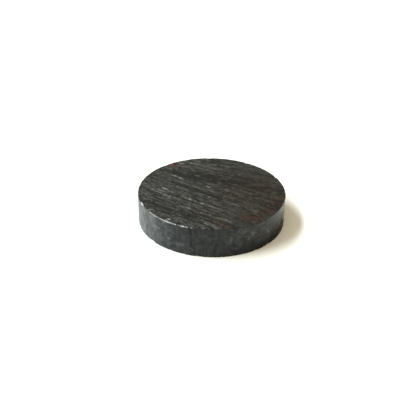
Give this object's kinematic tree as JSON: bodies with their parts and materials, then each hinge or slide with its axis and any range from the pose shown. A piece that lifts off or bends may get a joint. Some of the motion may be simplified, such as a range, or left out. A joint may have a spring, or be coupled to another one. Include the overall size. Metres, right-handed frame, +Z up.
{
  "type": "disc magnet",
  "caption": "Plain solid ferrite disc magnet with two ground flat faces and an unground sintered side, used as a loose table marker or a holding magnet.",
  "frame": {"origin": "centre of the lower ground face, which the disc rests on", "axes": "+Z up along the disc's axis, from the lower face to the upper face; X and Y lie in the lower face"},
  "size_m": [0.0246, 0.0246, 0.0051],
  "materials": {
    "ferrite": "ground matt"
  },
  "bodies": {
    "root": {"ferrite_disc": "ferrite"}
  },
  "joints": []
}
